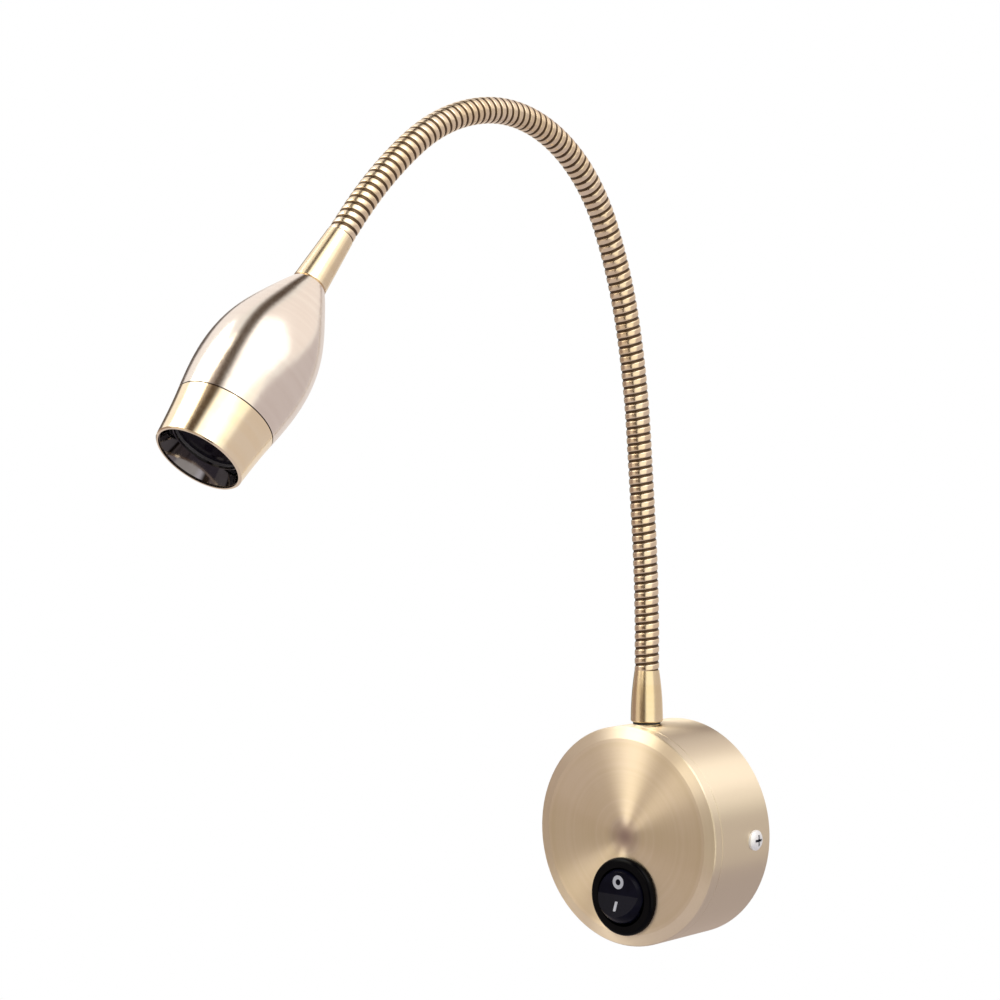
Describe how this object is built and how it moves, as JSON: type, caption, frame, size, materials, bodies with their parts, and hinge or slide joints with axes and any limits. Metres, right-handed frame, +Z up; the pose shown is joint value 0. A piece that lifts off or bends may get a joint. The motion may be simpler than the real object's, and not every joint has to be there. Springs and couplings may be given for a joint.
{
  "type": "bedside wall reading lamp",
  "caption": "Wall reading lamp: round base with a rocker switch, ribbed gooseneck that bends and stays put, and a small bell-shaped LED spot head.",
  "frame": {"origin": "middle of the base's back, on the wall", "axes": "+Y into the wall, the lamp stands out towards -Y, +Z up, +X to the right when facing the lamp"},
  "size_m": [0.0684, 0.2064, 0.2444],
  "materials": {
    "brass_base": "brushed antique brass, turned",
    "brass_collar": "polished antique brass",
    "brass_hose": "polished antique brass, ribbed",
    "brass_head": "satin antique brass, turned",
    "brass_ring": "polished antique brass",
    "nickel": "bright nickel plate",
    "zinc_steel": "zinc plated",
    "spring_steel": "drawn",
    "contact_brass": "plain",
    "switch_black": "gloss",
    "rocker_black": "satin",
    "baffle_black": "gloss black",
    "driver_white": "matt",
    "block_white": "matt",
    "board_green": "solder mask",
    "component_dark": "matt",
    "foam": "foam",
    "rubber_black": "matt",
    "aluminium": "turned",
    "star_white": "white solder mask",
    "emitter_yellow": "clear over phosphor",
    "lens_clear": "clear",
    "holder_white": "matt",
    "silicone": "matt",
    "wire_brown": "insulation",
    "wire_blue": "insulation",
    "wire_pair": "insulation"
  },
  "bodies": {
    "base": {"base_cover": "brass_base", "wall_bracket": "zinc_steel", "cover_screws": "nickel", "earth_screw": "contact_brass", "cable_grommet": "rubber_black", "driver_pad": "foam", "driver_case": "driver_white", "driver_lid": "driver_white", "driver_board": "board_green", "driver_components": "component_dark", "terminal_block": "block_white", "terminal_screws": "contact_brass", "switch_housing": "switch_black", "switch_tabs": "contact_brass", "collar_washer": "rubber_black", "collar": "brass_collar", "lower_fitting": "contact_brass", "saddle_washer": "zinc_steel", "lock_washer": "spring_steel", "gooseneck_nut": "contact_brass", "live_wire": "wire_brown", "switched_wire": "wire_brown", "neutral_wire": "wire_blue", "output_wires": "wire_pair", "gooseneck_1": "brass_hose", "lead_wires_1": "wire_pair"},
    "hose_2": {"gooseneck_2": "brass_hose", "lead_wires_2": "wire_pair"},
    "hose_3": {"gooseneck_3": "brass_hose", "lead_wires_3": "wire_pair"},
    "hose_4": {"gooseneck_4": "brass_hose", "lead_wires_4": "wire_pair"},
    "hose_5": {"gooseneck_5": "brass_hose", "lead_wires_5": "wire_pair"},
    "hose_6": {"gooseneck_6": "brass_hose", "lead_wires_6": "wire_pair"},
    "hose_7": {"gooseneck_7": "brass_hose", "lead_wires_7": "wire_pair"},
    "head": {"gooseneck_8": "brass_hose", "lead_wires_8": "wire_pair", "neck_sleeve": "brass_collar", "upper_fitting": "contact_brass", "head_washer": "spring_steel", "head_nut": "contact_brass", "head_shell": "brass_head", "front_ring": "brass_ring", "heat_sink": "aluminium", "led_star": "star_white", "led_emitter": "emitter_yellow", "star_screws": "zinc_steel", "lens_holder": "holder_white", "lens": "lens_clear", "lens_gasket": "silicone", "baffle": "baffle_black", "head_wires": "wire_pair"},
    "rocker": {"switch_rocker": "rocker_black", "switch_plunger": "contact_brass", "plunger_spring": "spring_steel"},
    "contact_lever": {"contact_lever": "contact_brass"}
  },
  "joints": [
    {"name": "gooseneck_bend_1", "type": "hinge", "parent": "base", "child": "hose_2", "pos_m": [0, -0.01878, 0.08734], "axis": [1, 0, 0], "range_deg": [-10, 20]},
    {"name": "gooseneck_side_2", "type": "hinge", "parent": "hose_2", "child": "hose_3", "pos_m": [0, -0.02167, 0.1188], "axis": [0, 0.9954, 0.0958], "range_deg": [-20, 20]},
    {"name": "gooseneck_bend_3", "type": "hinge", "parent": "hose_3", "child": "hose_4", "pos_m": [0, -0.02688, 0.14993], "axis": [1, 0, 0], "range_deg": [-10, 20]},
    {"name": "gooseneck_side_4", "type": "hinge", "parent": "hose_4", "child": "hose_5", "pos_m": [0, -0.03791, 0.17944], "axis": [0, 0.887, 0.4617], "range_deg": [-20, 20]},
    {"name": "gooseneck_bend_5", "type": "hinge", "parent": "hose_5", "child": "hose_6", "pos_m": [0, -0.05964, 0.20175], "axis": [1, 0, 0], "range_deg": [-20, 12]},
    {"name": "gooseneck_bend_6", "type": "hinge", "parent": "hose_6", "child": "hose_7", "pos_m": [0, -0.09012, 0.20795], "axis": [1, 0, 0], "range_deg": [-20, 12]},
    {"name": "gooseneck_bend_7", "type": "hinge", "parent": "hose_7", "child": "head", "pos_m": [0, -0.11945, 0.19713], "axis": [1, 0, 0], "range_deg": [-20, 12]},
    {"name": "switch_rocker_swing", "type": "hinge", "parent": "base", "child": "rocker", "pos_m": [0, -0.0268, -0.0177], "axis": [1, 0, 0], "range_deg": [0, 22]},
    {"name": "contact_lever_tip", "type": "hinge", "parent": "base", "child": "contact_lever", "pos_m": [0, -0.01965, -0.0177], "axis": [1, 0, 0], "range_deg": [-16.5, 0.5]}
  ],
  "couplings": [
    {"joint": "gooseneck_bend_3", "follows": "gooseneck_bend_1", "ratio": 1},
    {"joint": "gooseneck_side_4", "follows": "gooseneck_side_2", "ratio": 1},
    {"joint": "gooseneck_bend_6", "follows": "gooseneck_bend_5", "ratio": 1},
    {"joint": "gooseneck_bend_7", "follows": "gooseneck_bend_5", "ratio": 1},
    {"joint": "contact_lever_tip", "follows": "switch_rocker_swing", "ratio": -0.72727}
  ]
}
